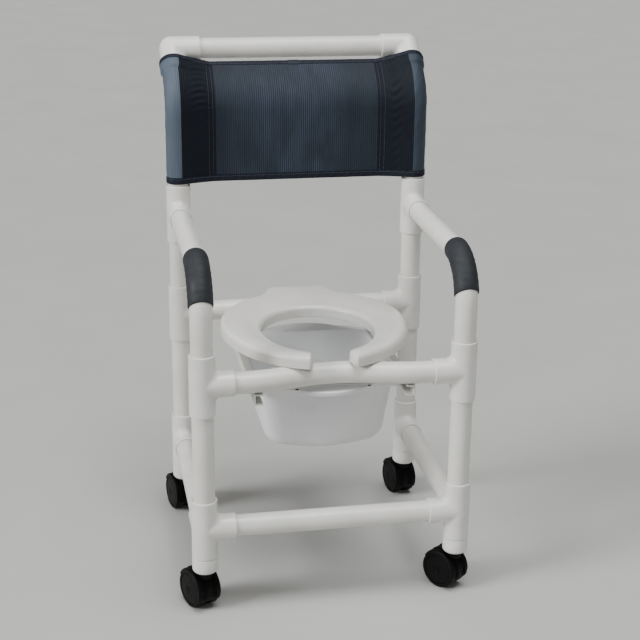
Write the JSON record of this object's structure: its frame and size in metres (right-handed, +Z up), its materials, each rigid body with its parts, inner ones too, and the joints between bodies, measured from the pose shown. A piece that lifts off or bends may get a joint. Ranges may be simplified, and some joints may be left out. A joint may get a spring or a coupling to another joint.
{
  "type": "commode chair",
  "caption": "Wheeled shower and commode chair: white plastic pipe frame, hinged open-front seat, slide-out pail, padded arms and a navy mesh back.",
  "frame": {"origin": "centre of the footprint, on the floor", "axes": "+Z up, -Y the way the chair faces, +X to the right as seen from in front; the frame's own centre plane is X = 0.008, because the turned casters reach further to the left"},
  "size_m": [0.5755, 0.5706, 1.0356],
  "materials": {
    "white_pvc": "satin moulded and extruded PVC",
    "seat_plastic": "smooth moulded plastic",
    "pail_plastic": "smooth moulded polypropylene",
    "runner_plastic": "extruded plastic",
    "grip_vinyl": "matt vinyl sleeve",
    "navy_mesh": "vinyl-coated woven mesh",
    "black_nylon": "fine moulded texture",
    "black_tread": "matt",
    "zinc_steel": "zinc plated"
  },
  "bodies": {
    "frame": {"arm_grip_left": "grip_vinyl", "arm_grip_right": "grip_vinyl", "arm_tee_left": "white_pvc", "arm_tee_right": "white_pvc", "arm_tube_left": "white_pvc", "arm_tube_right": "white_pvc", "backrest": "navy_mesh", "caster_cap_front_left": "white_pvc", "caster_cap_front_right": "white_pvc", "caster_cap_rear_left": "white_pvc", "caster_cap_rear_right": "white_pvc", "caster_stem_front_left": "zinc_steel", "caster_stem_front_right": "zinc_steel", "caster_stem_rear_left": "zinc_steel", "caster_stem_rear_right": "zinc_steel", "foot_crossbar_front": "white_pvc", "foot_tee_front_left": "white_pvc", "foot_tee_front_right": "white_pvc", "foot_tee_rear_left": "white_pvc", "foot_tee_rear_right": "white_pvc", "front_leg_left": "white_pvc", "front_leg_right": "white_pvc", "pail_runner_left": "runner_plastic", "pail_runner_right": "runner_plastic", "pail_strap": "runner_plastic", "rear_leg_left": "white_pvc", "rear_leg_right": "white_pvc", "rear_post_middle_left": "white_pvc", "rear_post_middle_right": "white_pvc", "rear_post_upper_left": "white_pvc", "rear_post_upper_right": "white_pvc", "seat_crossbar_front": "white_pvc", "seat_crossbar_rear": "white_pvc", "seat_tee_front_left": "white_pvc", "seat_tee_front_right": "white_pvc", "seat_tee_rear_left": "white_pvc", "seat_tee_rear_right": "white_pvc", "side_rail_left": "white_pvc", "side_rail_right": "white_pvc", "strap_screw_left": "black_nylon", "strap_screw_right": "black_nylon", "top_elbow_left": "white_pvc", "top_elbow_right": "white_pvc", "top_rail": "white_pvc"},
    "seat_assembly": {"seat": "seat_plastic", "seat_clip_left": "seat_plastic", "seat_clip_right": "seat_plastic"},
    "pail_body": {"pail": "pail_plastic"},
    "caster_front_left": {"caster_housing_front_left": "black_nylon"},
    "wheel_front_left_a": {"wheel_front_left_a": "black_tread"},
    "wheel_front_left_b": {"wheel_front_left_b": "black_tread"},
    "caster_front_right": {"caster_housing_front_right": "black_nylon"},
    "wheel_front_right_a": {"wheel_front_right_a": "black_tread"},
    "wheel_front_right_b": {"wheel_front_right_b": "black_tread"},
    "caster_rear_left": {"caster_housing_rear_left": "black_nylon"},
    "wheel_rear_left_a": {"wheel_rear_left_a": "black_tread"},
    "wheel_rear_left_b": {"wheel_rear_left_b": "black_tread"},
    "caster_rear_right": {"caster_housing_rear_right": "black_nylon"},
    "wheel_rear_right_a": {"wheel_rear_right_a": "black_tread"},
    "wheel_rear_right_b": {"wheel_rear_right_b": "black_tread"}
  },
  "joints": [
    {"name": "seat_hinge", "type": "hinge", "parent": "frame", "child": "seat_assembly", "pos_m": [0.004, 0.169, 0.469], "axis": [-1, 0, 0], "range_deg": [0, 76]},
    {"name": "pail_slide", "type": "slide", "parent": "frame", "child": "pail_body", "axis": [0, -1, 0], "range_m": [0, 0.3]},
    {"name": "swivel_front_left", "type": "hinge", "parent": "frame", "child": "caster_front_left", "pos_m": [-0.2417, -0.257, 0.082], "axis": [0, 0, 1], "continuous": true},
    {"name": "roll_front_left_a", "type": "hinge", "parent": "caster_front_left", "child": "wheel_front_left_a", "pos_m": [-0.25184, -0.23525, 0.038], "axis": [0.9063, 0.4226, 0], "continuous": true},
    {"name": "roll_front_left_b", "type": "hinge", "parent": "caster_front_left", "child": "wheel_front_left_b", "pos_m": [-0.25184, -0.23525, 0.038], "axis": [0.9063, 0.4226, 0], "continuous": true},
    {"name": "swivel_front_right", "type": "hinge", "parent": "frame", "child": "caster_front_right", "pos_m": [0.2577, -0.257, 0.082], "axis": [0, 0, 1], "continuous": true},
    {"name": "roll_front_right_a", "type": "hinge", "parent": "caster_front_right", "child": "wheel_front_right_a", "pos_m": [0.24359, -0.23758, 0.038], "axis": [0.809, 0.5878, 0], "continuous": true},
    {"name": "roll_front_right_b", "type": "hinge", "parent": "caster_front_right", "child": "wheel_front_right_b", "pos_m": [0.24359, -0.23758, 0.038], "axis": [0.809, 0.5878, 0], "continuous": true},
    {"name": "swivel_rear_left", "type": "hinge", "parent": "frame", "child": "caster_rear_left", "pos_m": [-0.2417, 0.169, 0.082], "axis": [0, 0, 1], "continuous": true},
    {"name": "roll_rear_left_a", "type": "hinge", "parent": "caster_rear_left", "child": "wheel_rear_left_a", "pos_m": [-0.24791, 0.19218, 0.038], "axis": [0.9659, 0.2588, 0], "continuous": true},
    {"name": "roll_rear_left_b", "type": "hinge", "parent": "caster_rear_left", "child": "wheel_rear_left_b", "pos_m": [-0.24791, 0.19218, 0.038], "axis": [0.9659, 0.2588, 0], "continuous": true},
    {"name": "swivel_rear_right", "type": "hinge", "parent": "frame", "child": "caster_rear_right", "pos_m": [0.2577, 0.169, 0.082], "axis": [0, 0, 1], "continuous": true},
    {"name": "roll_rear_right_a", "type": "hinge", "parent": "caster_rear_right", "child": "wheel_rear_right_a", "pos_m": [0.25271, 0.19248, 0.038], "axis": [0.9781, 0.2079, 0], "continuous": true},
    {"name": "roll_rear_right_b", "type": "hinge", "parent": "caster_rear_right", "child": "wheel_rear_right_b", "pos_m": [0.25271, 0.19248, 0.038], "axis": [0.9781, 0.2079, 0], "continuous": true}
  ]
}
